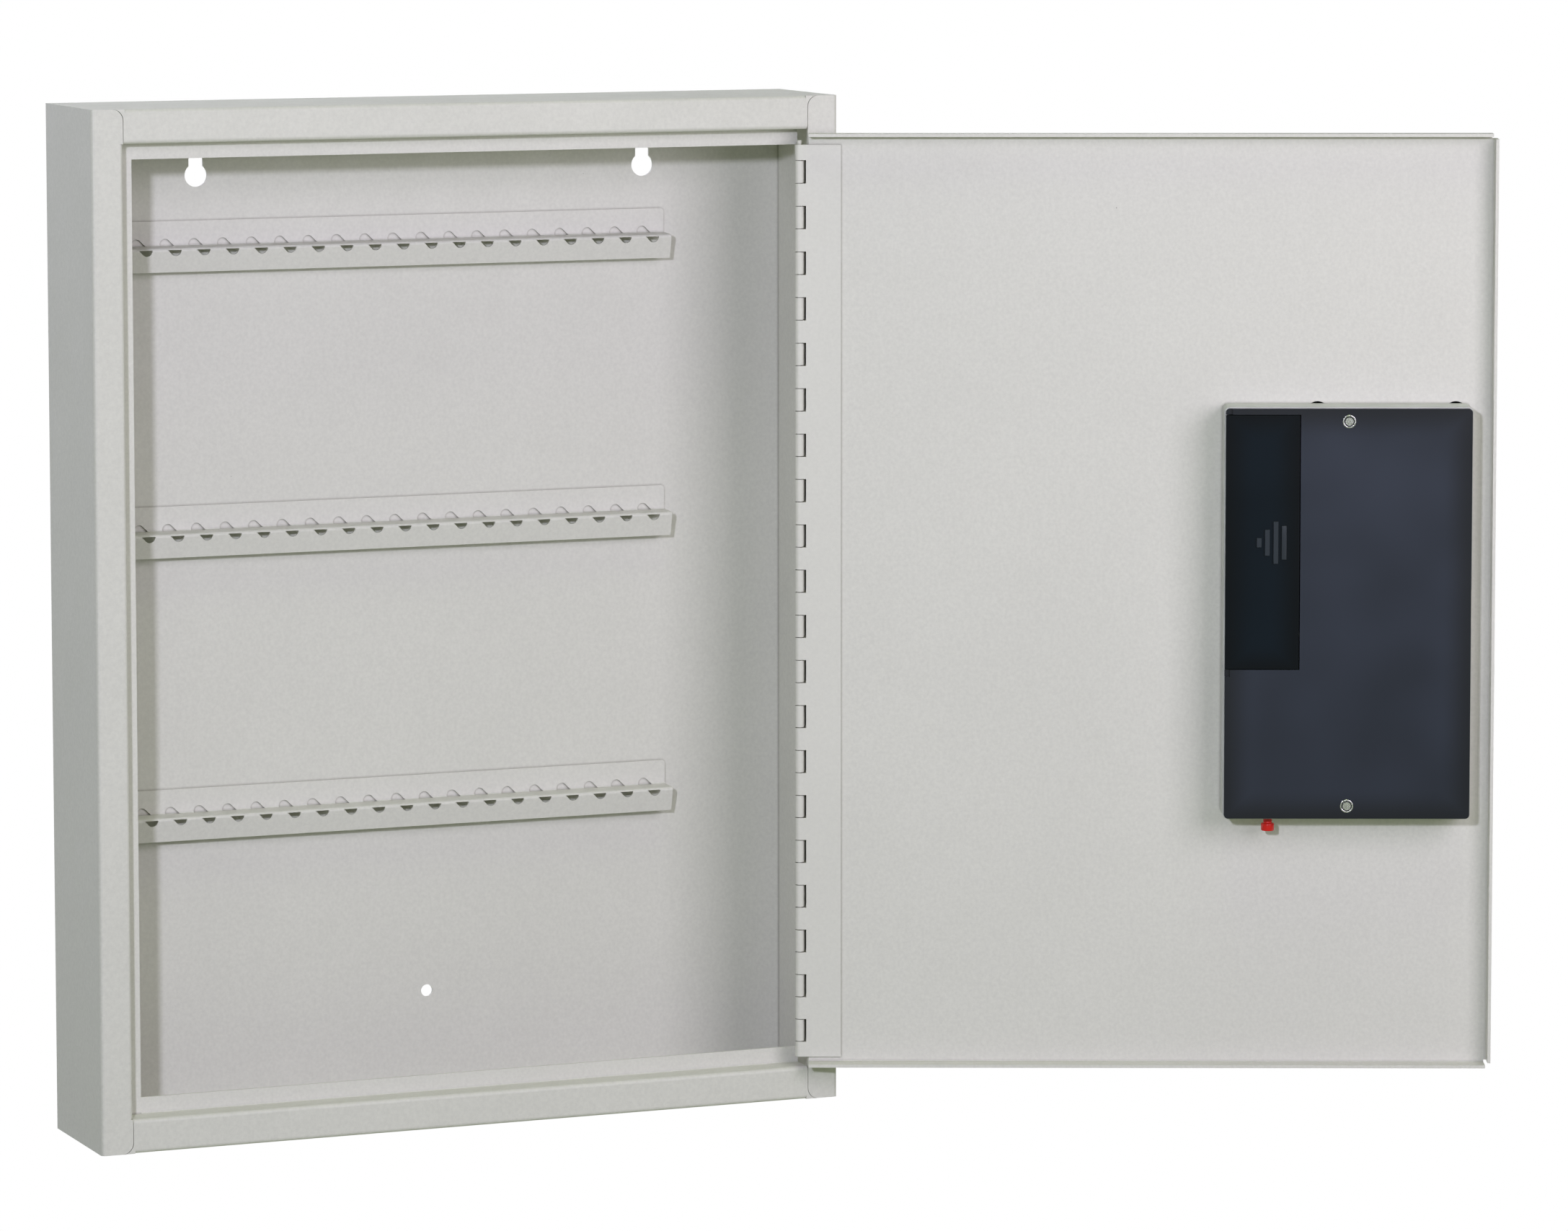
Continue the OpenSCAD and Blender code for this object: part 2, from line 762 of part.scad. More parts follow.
module solenoid_body() {
    half_w = 10;
    reach = 19;
    frame_t = 2;
    color(coil_copper) on_door() difference() {
        union() {
            for (z = [solenoid_bottom, solenoid_top - frame_t])
                block([plunger_x - half_w, deep(reach), z],
                    [plunger_x + half_w, deep(wall), z + frame_t]);
            block([plunger_x - half_w, deep(wall + frame_t), solenoid_bottom],
                [plunger_x + half_w, deep(wall), solenoid_top]);
            translate([plunger_x, deep(plunger_depth), solenoid_bottom + 1])
                cylinder(r = 6.5, h = solenoid_top - solenoid_bottom - 2);
        }
        translate([plunger_x, deep(plunger_depth), solenoid_bottom - over])
            cylinder(r = plunger_r + running_gap, h = 18 + over);
    }
}

module solenoid_plunger() {
    color(steel) on_door() translate([plunger_x, deep(plunger_depth), plunger_low]) {
        cylinder(r = plunger_r, h = 24);
        translate([0, 0, flange_low]) cylinder(r = 4.4, h = flange_t);
    }
}

module plunger_spring() {
    low = plunger_low + flange_low + flange_t;
    color(steel) on_door() translate([plunger_x, deep(plunger_depth), low])
        coil_spring(3.4, 0.35, 4, solenoid_bottom - low);
}

// ---------- Bolt work ----------

module bolt() {
    rest_slot_x = knob_x - crank_r * sin(45);
    slot_lo = crank_r * cos(45) - crank_pin_r - slot_clear;
    slot_hi = crank_r + crank_pin_r + slot_clear;
    half_slot = crank_pin_r + slot_clear;
    color(steel) on_door() difference() {
        union() {
            block([plate_left, deep(plate_depth + plate_t), bolt_bottom],
                [plate_right, deep(plate_depth), bolt_top]);
            block([plate_right - 6, deep(head_depth + head_t), knob_z - head_half],
                [bolt_tip, deep(head_depth), knob_z + head_half]);
        }
        block([rest_slot_x - half_slot, deep(head_depth + over), knob_z + slot_lo],
            [rest_slot_x + half_slot, deep(plate_depth - over), knob_z + slot_hi]);
        for (x = [plunger_x, plunger_x - bolt_travel])
            block([x - notch_w / 2, deep(head_depth + over), bolt_top - notch_h],
                [x + notch_w / 2, deep(plate_depth - over), bolt_top + over]);
    }
}

module bolt_guide() {
    color(steel) on_door() difference() {
        for (x = [299, 260])
            block([x, deep(17), bolt_bottom - 3], [x + gate_t, deep(wall), bolt_top + 3]);
        block([plate_left - over, deep(head_depth + gate_gap), bolt_bottom - gate_gap],
            [plate_right + over, deep(plate_depth - gate_gap), bolt_top + gate_gap]);
    }
}

module cam() {
    color(steel) on_door() {
        difference() {
            pin_y(knob_x, knob_z, cam_r, deep(cam_depth + cam_t), deep(cam_depth));
            pin_y(knob_x, knob_z, spindle_r, deep(cam_depth + cam_t + over), deep(cam_depth - over));
        }
        pin_y(knob_x - crank_r * sin(45), knob_z + crank_r * cos(45), crank_pin_r,
            deep(head_depth - 0.4), deep(cam_depth + cam_t));
    }
}

module spindle() {
    color(steel) on_door()
        pin_y(knob_x, knob_z, spindle_r, deep(cam_depth + cam_t), pad_y + knob_h - 4);
}

module knob() {
    base_y = pad_y + 0.8;
    skirt_h = 5;
    grips = 12;
    grip_r = 2.4;
    color(black_plastic) on_door() difference() {
        union() {
            pin_y(knob_x, knob_z, knob_d / 2, base_y, base_y + skirt_h);
            pin_y(knob_x, knob_z, knob_d / 2 - 2, base_y + skirt_h - over, base_y + knob_h);
        }
        for (i = [0:grips - 1])
            translate([knob_x, base_y + skirt_h, knob_z]) rotate([-90, 360 * (i + 0.5) / grips, 0])
                translate([knob_d / 2 - 0.6, 0, 0]) cylinder(r = grip_r, h = knob_h);
        pin_y(knob_x, knob_z, spindle_r, base_y - over, pad_y + knob_h - 4);
    }
}

module mounting_screws() {
    color(steel) on_door() for (x = mount_screw_x)
        for (z = mount_screw_z)
            difference() {
                union() {
                    pin_y(x, z, mount_head_r, deep(wall + mount_head_h), deep(wall));
                    pin_y(x, z, mount_shank_r, deep(wall + 0.5), face_y + 8);
                }
                for (turn = [0, 90])
                    translate([x, deep(wall + mount_head_h), z]) rotate([0, turn, 0])
                        cube([4, 2, 0.8], center = true);
            }
}

// ---------- Reset button ----------

module reset_button() {
    stem_low = lock_bottom - 3.5;
    head_h = 3.7;
    color(red_plastic) on_door() translate([reset_x, deep(reset_depth), 0]) {
        translate([0, 0, stem_low - head_h]) cylinder(r = 3.25, h = head_h);
        translate([0, 0, stem_low - 0.5]) cylinder(r = reset_stem_r, h = 13);
        translate([0, 0, lock_bottom + wall + 0.05]) cylinder(r = 3.6, h = 1.2);
    }
}

module reset_spring() {
    low = lock_bottom + wall + 1.25;
    color(steel) on_door() translate([reset_x, deep(reset_depth), low])
        coil_spring(2.75, 0.3, 5, lock_bottom + 13 - low);
}

module reset_switch() {
    color(black_plastic) on_door()
        block([reset_x - 5, deep(17), lock_bottom + 13], [reset_x + 5, deep(wall), lock_bottom + 19]);
}

// ---------- Keypad ----------

module keypad_frame() {
    color(black_plastic) on_door() difference() {
        union() {
            difference() {
                front_plate(pad_y, keypad_d) lock_outline(-pad_grow, 6);
                front_plate(pad_in_y, keypad_d) lock_outline(pad_wall - pad_grow, 4);
            }
            for (x = mount_screw_x)
                for (z = mount_screw_z)
                    pin_y(x, z, 4, face_y, pad_y - 1);
            pin_y(knob_x, knob_z, 8, face_y + 4, pad_y - 1);
            for (x = [pad_board[0][0] + post_inset, pad_board[1][0] - post_inset])
                for (z = [pad_board[0][1] + post_inset, pad_board[1][1] - post_inset])
                    pin_y(x, z, post_r, board_y, pad_y - 1);
        }
        for (x = mount_screw_x)
            for (z = mount_screw_z)
                pin_y(x, z, mount_shank_r, face_y - over, face_y + 9);
        for (x = key_cols)
            for (z = key_rows)
                block([x - key_w / 2 - key_gap, pad_in_y - over, z - key_h / 2 - key_gap],
                    [x + key_w / 2 + key_gap, pad_y + over, z + key_h / 2 + key_gap]);
        for (x = lens_x)
            pin_y(x, lens_z, lens_r, pad_in_y - over, pad_y + over);
        pin_y(knob_x, knob_z, spindle_r + running_gap, face_y, pad_y + over);
    }
}

module keypad_board() {
    color(board_green) on_door()
        block([pad_board[0][0], board_y - board_t, pad_board[0][1]],
            [pad_board[1][0], board_y, pad_board[1][1]]);
}

module keypad_mat() {
    margin = 1.5;
    low = [min(key_cols) - key_w / 2 - margin, min(key_rows) - key_h / 2 - margin];
    high = [max(key_cols) + key_w / 2 + margin, max(key_rows) + key_h / 2 + margin];
    color([0.25, 0.25, 0.27]) on_door()
        block([low[0], mat_y - mat_t, low[1]], [high[0], mat_y, high[1]]);
}

module status_lenses() {
    color([0.3, 0.9, 0.4]) on_door() for (x = lens_x)
        pin_y(x, lens_z, lens_r, board_y, pad_y + 0.4);
}

module key(col, row) {
    x = key_cols[col];
    z = key_rows[row];
    lip_y = pad_in_y - 0.1;
    lip_t = 1;
    corner_r = 1.5;
    color(key_grey) on_door() {
        front_plate(pad_y + key_proud, pad_y + key_proud - lip_y)
            rounded_rect([x - key_w / 2, z - key_h / 2], [x + key_w / 2, z + key_h / 2], corner_r);
        block([x - key_w / 2 - key_lip, lip_y - lip_t, z - key_h / 2 - key_lip],
            [x + key_w / 2 + key_lip, lip_y, z + key_h / 2 + key_lip]);
    }
}

module key_1() { key(2, 0); }
module key_2() { key(1, 0); }
module key_3() { key(0, 0); }
module key_4() { key(2, 1); }
module key_5() { key(1, 1); }
module key_6() { key(0, 1); }
module key_7() { key(2, 2); }
module key_8() { key(1, 2); }
module key_9() { key(0, 2); }
module key_star() { key(2, 3); }
module key_0() { key(1, 3); }
module key_hash() { key(0, 3); }

// ---------- Nodes ----------

left_side_panel();
right_side_panel();
top_panel();
bottom_panel();
back_panel();
strike_plate();
hook_strip_top();
hook_strip_middle();
hook_strip_bottom();
hinge_leaf_body();
hinge_pin();
hinge_leaf_door();
door_panel();
lock_housing();
rear_cover();
battery_cover();
cover_screws();
screw_rings();
batteries();
battery_contacts();
control_board();
ribbon_cable();
solenoid_body();
solenoid_plunger();
plunger_spring();
bolt();
bolt_guide();
mounting_screws();
reset_button();
reset_spring();
reset_switch();
keypad_frame();
keypad_board();
keypad_mat();
status_lenses();
knob();
spindle();
cam();
key_1();
key_2();
key_3();
key_4();
key_5();
key_6();
key_7();
key_8();
key_9();
key_star();
key_0();
key_hash();
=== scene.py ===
"""Looks of a wall key cabinet, shown with its door open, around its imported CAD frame."""

import json
import math

import bmesh
import bpy
from mathutils import Matrix, Vector


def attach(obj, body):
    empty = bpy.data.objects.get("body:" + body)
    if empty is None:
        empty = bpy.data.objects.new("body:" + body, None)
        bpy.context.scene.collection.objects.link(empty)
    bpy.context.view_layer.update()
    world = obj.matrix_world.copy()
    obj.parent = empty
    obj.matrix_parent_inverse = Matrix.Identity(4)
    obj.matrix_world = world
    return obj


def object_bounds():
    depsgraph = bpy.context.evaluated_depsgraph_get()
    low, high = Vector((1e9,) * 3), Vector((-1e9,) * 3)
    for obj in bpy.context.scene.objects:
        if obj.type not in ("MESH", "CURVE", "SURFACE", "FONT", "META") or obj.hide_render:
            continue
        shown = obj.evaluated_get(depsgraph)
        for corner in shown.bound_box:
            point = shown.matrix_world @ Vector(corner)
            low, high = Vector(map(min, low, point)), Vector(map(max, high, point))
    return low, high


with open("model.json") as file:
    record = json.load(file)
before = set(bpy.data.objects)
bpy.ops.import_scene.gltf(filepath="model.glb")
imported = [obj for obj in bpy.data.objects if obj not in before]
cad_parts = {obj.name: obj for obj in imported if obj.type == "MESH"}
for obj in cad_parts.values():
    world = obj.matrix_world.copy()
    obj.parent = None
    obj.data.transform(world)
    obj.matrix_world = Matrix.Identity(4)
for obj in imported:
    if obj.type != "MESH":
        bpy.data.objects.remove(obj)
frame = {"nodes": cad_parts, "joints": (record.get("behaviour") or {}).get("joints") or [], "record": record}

cad_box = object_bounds()
nodes = frame["nodes"]
scene = bpy.context.scene
MM = 0.001
# Sockets of a Mix node that carry colours
MIX_A, MIX_B, MIX_RESULT = 6, 7, 2

# Directions on the open door: along it from the hinge, and outwards through its sheet
axis_of = {joint["name"]: Vector(joint["axis"]) for joint in frame["joints"]}
ALONG = axis_of["bolt_slide"].normalized()
OUTWARDS = -axis_of["key_1_press"].normalized()
UP = Vector((0, 0, 1))


def shaded(colour, amount):
    return tuple(channel * amount for channel in colour)


def reach(node, direction):
    """Lowest and highest place of a node along a direction."""
    places = [vertex.co.dot(direction) for vertex in nodes[node].data.vertices]
    return min(places), max(places)


# ---------- Camera ----------

CAMERA_PLACE = Vector((-1.1188, -3.1349, 0.4026))
CAMERA_AZIMUTH = 22.713
CAMERA_PITCH = 5.703
CAMERA_ROLL = 0.04
CAMERA_LENS = 155.28
CAMERA_SHIFT_Y = -0.10
SENSOR_WIDTH = 36
NEAREST, FARTHEST = 0.05, 200


def make_camera():
    data = bpy.data.cameras.new("camera")
    data.lens = CAMERA_LENS
    data.sensor_width = SENSOR_WIDTH
    data.shift_y = CAMERA_SHIFT_Y
    data.clip_start = NEAREST
    data.clip_end = FARTHEST
    data.dof.use_dof = False
    camera = bpy.data.objects.new("camera", data)
    turn = (
        Matrix.Rotation(-math.radians(CAMERA_AZIMUTH), 4, "Z")
        @ Matrix.Rotation(math.radians(90 - CAMERA_PITCH), 4, "X")
        @ Matrix.Rotation(math.radians(-CAMERA_ROLL), 4, "Z")
    )
    camera.matrix_world = Matrix.Translation(CAMERA_PLACE) @ turn
    scene.collection.objects.link(camera)
    scene.camera = camera


# ---------- Studio ----------

FLOOR_DROP = 0.6
FLOOR_SIZE = 160
# Brightness of the room above and below the object
ROOM_ABOVE = 0.09
ROOM_BELOW = 0.30
ROOM_ABOVE_TINT = (1.0, 1.0, 1.0)
ROOM_BELOW_TINT = (0.96, 1.09, 0.76)
# Height above and below the horizon over which the two blend
HORIZON = 0.2
# Each softbox: place, width in metres, power in watts and tint. All of them face the object.
SOFTBOXES = {
    "key": ((-1.25, -2.3, 0.65), 0.12, 31.1, (0.845, 0.83, 1.0)),
    "near_right": ((0.55, -1.4, 0.45), 0.75, 8.8, (0.96, 0.88, 1.0)),
    "left_high": ((-1.0, 1.2, 1.6), 1.2, 36.8, (0.82, 0.80, 1.0)),
    "top": ((0.1, -0.9, 3.2), 1.8, 18.3, (0.8, 1.0, 0.45)),
    "back": ((0.9, 3.0, -0.4), 2.0, 50, (1.0, 1.0, 1.0)),
}


def add_softbox(name, place, width, watts, tint, target):
    data = bpy.data.lights.new(name, "AREA")
    data.size = width
    data.energy = watts
    data.color = tint
    lamp = bpy.data.objects.new(name, data)
    turn = (Vector(place) - target).to_track_quat("Z", "Y")
    lamp.matrix_world = Matrix.Translation(place) @ turn.to_matrix().to_4x4()
    scene.collection.objects.link(lamp)


def light_room():
    """An even room, one brightness above the horizon and another below it."""
    world = bpy.data.worlds.new("studio")
    scene.world = world
    world.use_nodes = True
    tree = world.node_tree
    background = tree.nodes["Background"]
    direction = tree.nodes.new("ShaderNodeTexCoord")
    height = tree.nodes.new("ShaderNodeSeparateXYZ")
    tree.links.new(direction.outputs["Generated"], height.inputs["Vector"])
    share = tree.nodes.new("ShaderNodeMapRange")
    share.inputs["From Min"].default_value = -HORIZON
    share.inputs["From Max"].default_value = HORIZON
    tree.links.new(height.outputs["Z"], share.inputs["Value"])
    glow = tree.nodes.new("ShaderNodeMix")
    glow.data_type = "RGBA"
    tree.links.new(share.outputs["Result"], glow.inputs["Factor"])
    glow.inputs[MIX_A].default_value = (*shaded(ROOM_BELOW_TINT, ROOM_BELOW), 1)
    glow.inputs[MIX_B].default_value = (*shaded(ROOM_ABOVE_TINT, ROOM_ABOVE), 1)
    tree.links.new(glow.outputs[MIX_RESULT], background.inputs["Color"])
    background.inputs["Strength"].default_value = 1.0


def lay_floor():
    """Plain white floor well below the object, which hangs on a wall in use."""
    sheet = bpy.data.meshes.new("floor")
    half = FLOOR_SIZE / 2
    z = cad_box[0].z - FLOOR_DROP
    corners = [(-half, -half, z), (half, -half, z), (half, half, z), (-half, half, z)]
    sheet.from_pydata(corners, [], [(0, 1, 2, 3)])
    floor = bpy.data.objects.new("floor", sheet)
    scene.collection.objects.link(floor)
    paper = bpy.data.materials.new("white_paper")
    paper.use_nodes = True
    shader = paper.node_tree.nodes["Principled BSDF"]
    shader.inputs["Base Color"].default_value = (0, 0, 0, 1)
    shader.inputs["Specular IOR Level"].default_value = 0.0
    shader.inputs["Emission Color"].default_value = (1, 1, 1, 1)
    shader.inputs["Emission Strength"].default_value = 1.0
    sheet.materials.append(paper)
    floor.visible_diffuse = False
    floor.visible_glossy = False
    floor.visible_transmission = False
    floor.visible_shadow = False


def make_studio():
    middle = (cad_box[0] + cad_box[1]) / 2
    for name, (place, width, watts, tint) in SOFTBOXES.items():
        add_softbox(name, place, width, watts, tint, middle)
    light_room()
    lay_floor()
    scene.view_settings.view_transform = "Standard"


# ---------- Material kit ----------


class Surface:
    """A material under construction: a Principled shader and the nodes that feed it."""

    def __init__(self, name, roughness=0.5, metallic=0.0):
        self.material = bpy.data.materials.new(name)
        self.material.use_nodes = True
        self.tree = self.material.node_tree
        self.shader = self.tree.nodes["Principled BSDF"]
        self.set("Metallic", metallic)
        self.set("Roughness", roughness)
        self.place = self.add("ShaderNodeTexCoord").outputs["Object"]

    def add(self, kind, **settings):
        node = self.tree.nodes.new(kind)
        for key, value in settings.items():
            setattr(node, key, value)
        return node

    def link(self, source, target):
        self.tree.links.new(source, target)

    def set(self, socket, value):
        self.shader.inputs[socket].default_value = value

    def feed(self, socket, source):
        self.link(source, self.shader.inputs[socket])

    def stretched(self, scale):
        mapping = self.add("ShaderNodeMapping")
        mapping.inputs["Scale"].default_value = scale
        self.link(self.place, mapping.inputs["Vector"])
        return mapping.outputs["Vector"]

    def noise(self, size, detail=2.0, roughness=0.5, at=None, distortion=0.0):
        """Noise whose lumps are about size metres across."""
        node = self.add("ShaderNodeTexNoise")
        node.inputs["Scale"].default_value = 1 / size
        node.inputs["Detail"].default_value = detail
        node.inputs["Roughness"].default_value = roughness
        node.inputs["Distortion"].default_value = distortion
        self.link(at or self.place, node.inputs["Vector"])
        return node.outputs["Fac"]

    def along(self, direction):
        """Place of the point along a direction, in metres."""
        node = self.add("ShaderNodeVectorMath", operation="DOT_PRODUCT")
        node.inputs[1].default_value = direction
        self.link(self.place, node.inputs[0])
        return node.outputs["Value"]

    def painted_crease_shade(self, distance):
        """Painted shade: 1 deep in a narrow seam or corner that ambient occlusion finds shaded, 0 on open
        surfaces.
        """
        node = self.add("ShaderNodeAmbientOcclusion", samples=6)
        node.inputs["Distance"].default_value = distance
        return self.remap(node.outputs["AO"], 0.45, 0.95, 1, 0)

    def near_rim(self, node, rim):
        """0 in the middle of a node's face on the door, rising to 1 over the last rim metres."""
        sides = []
        for direction in (ALONG, UP):
            low, high = reach(node, direction)
            middle, half = (low + high) / 2, (high - low) / 2
            away = self.maths("ABSOLUTE", self.maths("SUBTRACT", self.along(direction), middle), 0)
            sides.append(self.remap(away, half - rim, half, 0, 1, "SMOOTHSTEP"))
        return self.maths("MAXIMUM", *sides)

    def dots(self, spacing, radius, share=1.0):
        """1 in small round dots about spacing metres apart, of which only a share is kept."""
        cells = self.add("ShaderNodeTexVoronoi")
        cells.inputs["Scale"].default_value = 1 / spacing
        self.link(self.place, cells.inputs["Vector"])
        near = self.remap(cells.outputs["Distance"], 0.6 * radius / spacing, radius / spacing, 1, 0)
        pick = self.add("ShaderNodeSeparateColor")
        self.link(cells.outputs["Color"], pick.inputs["Color"])
        kept = self.remap(pick.outputs["Red"], share - 0.001, share, 1, 0)
        return self.maths("MULTIPLY", near, kept)

    def remap(self, value, low, high, to_low, to_high, shape="LINEAR"):
        node = self.add("ShaderNodeMapRange", interpolation_type=shape)
        self.link(value, node.inputs["Value"])
        node.inputs["From Min"].default_value = low
        node.inputs["From Max"].default_value = high
        node.inputs["To Min"].default_value = to_low
        node.inputs["To Max"].default_value = to_high
        return node.outputs["Result"]

    def maths(self, operation, a, b):
        node = self.add("ShaderNodeMath", operation=operation)
        for socket, value in zip(node.inputs, (a, b)):
            if isinstance(value, (int, float)):
                socket.default_value = value
            else:
                self.link(value, socket)
        return node.outputs["Value"]

    def mix(self, share, a, b, blend="MIX"):
        """Colours a and b mixed by share; each is a colour or a socket."""
        node = self.add("ShaderNodeMix", data_type="RGBA", blend_type=blend)
        factor, first, second = (node.inputs[key] for key in ("Factor", MIX_A, MIX_B))
        for socket, value in ((factor, share), (first, a), (second, b)):
            if isinstance(value, bpy.types.NodeSocket):
                self.link(value, socket)
            elif isinstance(value, (int, float)):
                socket.default_value = value
            else:
                socket.default_value = (*value, 1)
        return node.outputs[MIX_RESULT]

    def bump(self, height, distance, strength=1.0):
        """Feeds the normal with height, where 1 stands distance metres above 0."""
        node = self.add("ShaderNodeBump")
        node.inputs["Strength"].default_value = strength
        node.inputs["Distance"].default_value = distance
        self.link(height, node.inputs["Height"])
        if self.shader.inputs["Normal"].is_linked:
            self.link(self.shader.inputs["Normal"].links[0].from_socket, node.inputs["Normal"])
        self.feed("Normal", node.outputs["Normal"])


# ---------- Materials ----------

PAINT = (0.70, 0.70, 0.645)
BLACK = (0.019, 0.025, 0.041)
BATTERY_BLACK = (0.002, 0.007, 0.013)


def powder_coat(name, colour=PAINT, grain=1.0):
    """Light powder coat: a fine sandy skin, faint clouds of tone, a few specks of dust, and painted shade
    darkening its seams and corners.
    """
    s = Surface(name)
    drift = s.remap(s.noise(90 * MM, 3), 0.35, 0.65, 0, 1)
    clouds = s.mix(drift, shaded(colour, 1.005), shaded(colour, 1.03))
    sand = s.noise(1.7 * MM, 3, 0.6)
    grained = s.mix(s.remap(sand, 0.3, 0.7, 0, 0.22 * grain), clouds, shaded(colour, 0.62))
    specks = s.dots(26 * MM, 0.42 * MM, 0.35)
    speckled = s.mix(s.maths("MULTIPLY", specks, 0.55), grained, (0.16, 0.15, 0.12))
    # Painted shade: ambient occlusion darkens the colour in seams and corners.
    painted_crease_shade = s.maths("MULTIPLY", s.painted_crease_shade(1.3 * MM), 0.6)
    s.feed("Base Color", s.mix(painted_crease_shade, speckled, (0.20, 0.19, 0.15)))
    s.feed("Roughness", s.remap(s.noise(14 * MM, 2), 0.3, 0.7, 0.42, 0.54))
    s.bump(sand, 0.05 * MM * grain)
    s.bump(s.noise(4 * MM, 1), 0.05 * MM)
    return s.material


def black_cover(name, colour, node, gloss=0.5, ridge_highlight=0.0):
    """Smooth black moulding with painted sheen: its face is lighter in the middle and painted darker towards
    the rim, with painted highlights on any raised ridge.
    """
    s = Surface(name)
    clouds = s.noise(48 * MM, 1)
    tone = s.mix(clouds, shaded(colour, 0.6), shaded(colour, 1.4))
    # Painted sheen: the face is painted darker towards its rim, so the middle reads lighter.
    rim_shaded = s.mix(s.near_rim(node, 15 * MM), tone, shaded(colour, 0.35))
    top = reach(node, OUTWARDS)[0]
    # Painted highlight: the tops of raised ridges are painted lighter.
    ridge_highlight_share = s.remap(s.along(OUTWARDS), top, top + 0.5 * MM, ridge_highlight, 0)
    highlighted = s.mix(ridge_highlight_share, rim_shaded, (0.12, 0.14, 0.16))
    dust = s.dots(13 * MM, 0.2 * MM, 0.25)
    s.feed("Base Color", s.mix(s.maths("MULTIPLY", dust, 0.25), highlighted, (0.4, 0.4, 0.4)))
    s.feed("Roughness", s.remap(clouds, 0, 1, 0.26, 0.32))
    s.set("Specular IOR Level", gloss)
    s.bump(s.noise(0.8 * MM, 2), 0.005 * MM)
    return s.material


def moulded(name, colour, roughness=0.42, grain=0.9 * MM, depth=0.02 * MM):
    """Moulded plastic with a fine spark-eroded grain."""
    s = Surface(name)
    fine = s.noise(grain, 2)
    drift = s.remap(s.noise(20 * MM, 2), 0.35, 0.65, 0, 1)
    tone = s.mix(drift, shaded(colour, 0.93), shaded(colour, 1.05))
    s.feed("Base Color", s.mix(s.remap(fine, 0.3, 0.7, 0, 0.10), tone, shaded(colour, 0.6)))
    s.feed("Roughness", s.remap(s.noise(9 * MM, 3), 0.3, 0.7, roughness - 0.06, roughness + 0.06))
    s.bump(fine, depth)
    return s.material


def metal(name, colour, roughness=0.3, brushed=(1, 1, 1), tarnish=(0.25, 0.22, 0.18)):
    """Bare or plated metal with brush lines along one direction and faint tarnish."""
    s = Surface(name, metallic=1.0)
    lines = s.noise(0.5 * MM, 3, at=s.stretched(brushed))
    stain = s.remap(s.noise(6 * MM, 4), 0.5, 0.75, 0, 0.35)
    bright = s.mix(s.remap(lines, 0.3, 0.7, 0, 1), shaded(colour, 0.85), shaded(colour, 1.05))
    s.feed("Base Color", s.mix(stain, bright, tarnish))
    s.feed("Roughness", s.remap(lines, 0.3, 0.7, roughness - 0.08, roughness + 0.1))
    s.bump(lines, 0.004 * MM)
    return s.material


def circuit_board(name):
    """Solder-masked board with darker tracks and tinned pads."""
    s = Surface(name, roughness=0.35)
    tracks = s.remap(s.noise(2.2 * MM, 0, at=s.stretched((1, 1, 0.25))), 0.49, 0.51, 0, 1)
    mask = s.mix(tracks, (0.01, 0.10, 0.035), (0.02, 0.17, 0.06))
    pads = s.dots(4 * MM, 0.6 * MM, 0.5)
    s.feed("Base Color", s.mix(pads, mask, (0.6, 0.6, 0.58)))
    s.bump(tracks, 0.03 * MM)
    return s.material


def winding(name):
    """Copper wire wound in close level turns."""
    s = Surface(name, roughness=0.32, metallic=1.0)
    turns = s.add("ShaderNodeTexWave", wave_type="BANDS", bands_direction="Z")
    turns.inputs["Scale"].default_value = 1 / (3.2 * MM)
    s.link(s.place, turns.inputs["Vector"])
    s.feed("Base Color", s.mix(turns.outputs["Fac"], (0.30, 0.12, 0.05), (0.85, 0.42, 0.22)))
    s.bump(turns.outputs["Fac"], 0.1 * MM)
    return s.material


def ribbon(name):
    """Flat grey cable of parallel cores."""
    s = Surface(name, roughness=0.5)
    cores = s.add("ShaderNodeTexWave", wave_type="BANDS", bands_direction="X")
    cores.inputs["Scale"].default_value = 1 / (6 * MM)
    s.link(s.place, cores.inputs["Vector"])
    s.feed("Base Color", s.mix(cores.outputs["Fac"], (0.28, 0.28, 0.27), (0.55, 0.55, 0.53)))
    s.bump(cores.outputs["Fac"], 0.2 * MM)
    return s.material


def clear_lens(name, colour):
    s = Surface(name, roughness=0.12)
    fine = s.noise(0.6 * MM, 2)
    grain = s.remap(fine, 0.3, 0.7, 0, 1)
    s.feed("Base Color", s.mix(grain, shaded(colour, 0.9), shaded(colour, 1.1)))
    s.set("Transmission Weight", 0.35)
    s.set("IOR", 1.49)
    return s.material


def rubber(name):
    s = Surface(name)
    fine = s.noise(0.7 * MM, 3)
    grain = s.remap(fine, 0.3, 0.7, 0, 1)
    s.feed("Base Color", s.mix(grain, (0.012, 0.012, 0.013), (0.03, 0.03, 0.032)))
    s.feed("Roughness", s.remap(s.noise(8 * MM, 2), 0.3, 0.7, 0.65, 0.8))
    s.bump(fine, 0.03 * MM)
    return s.material


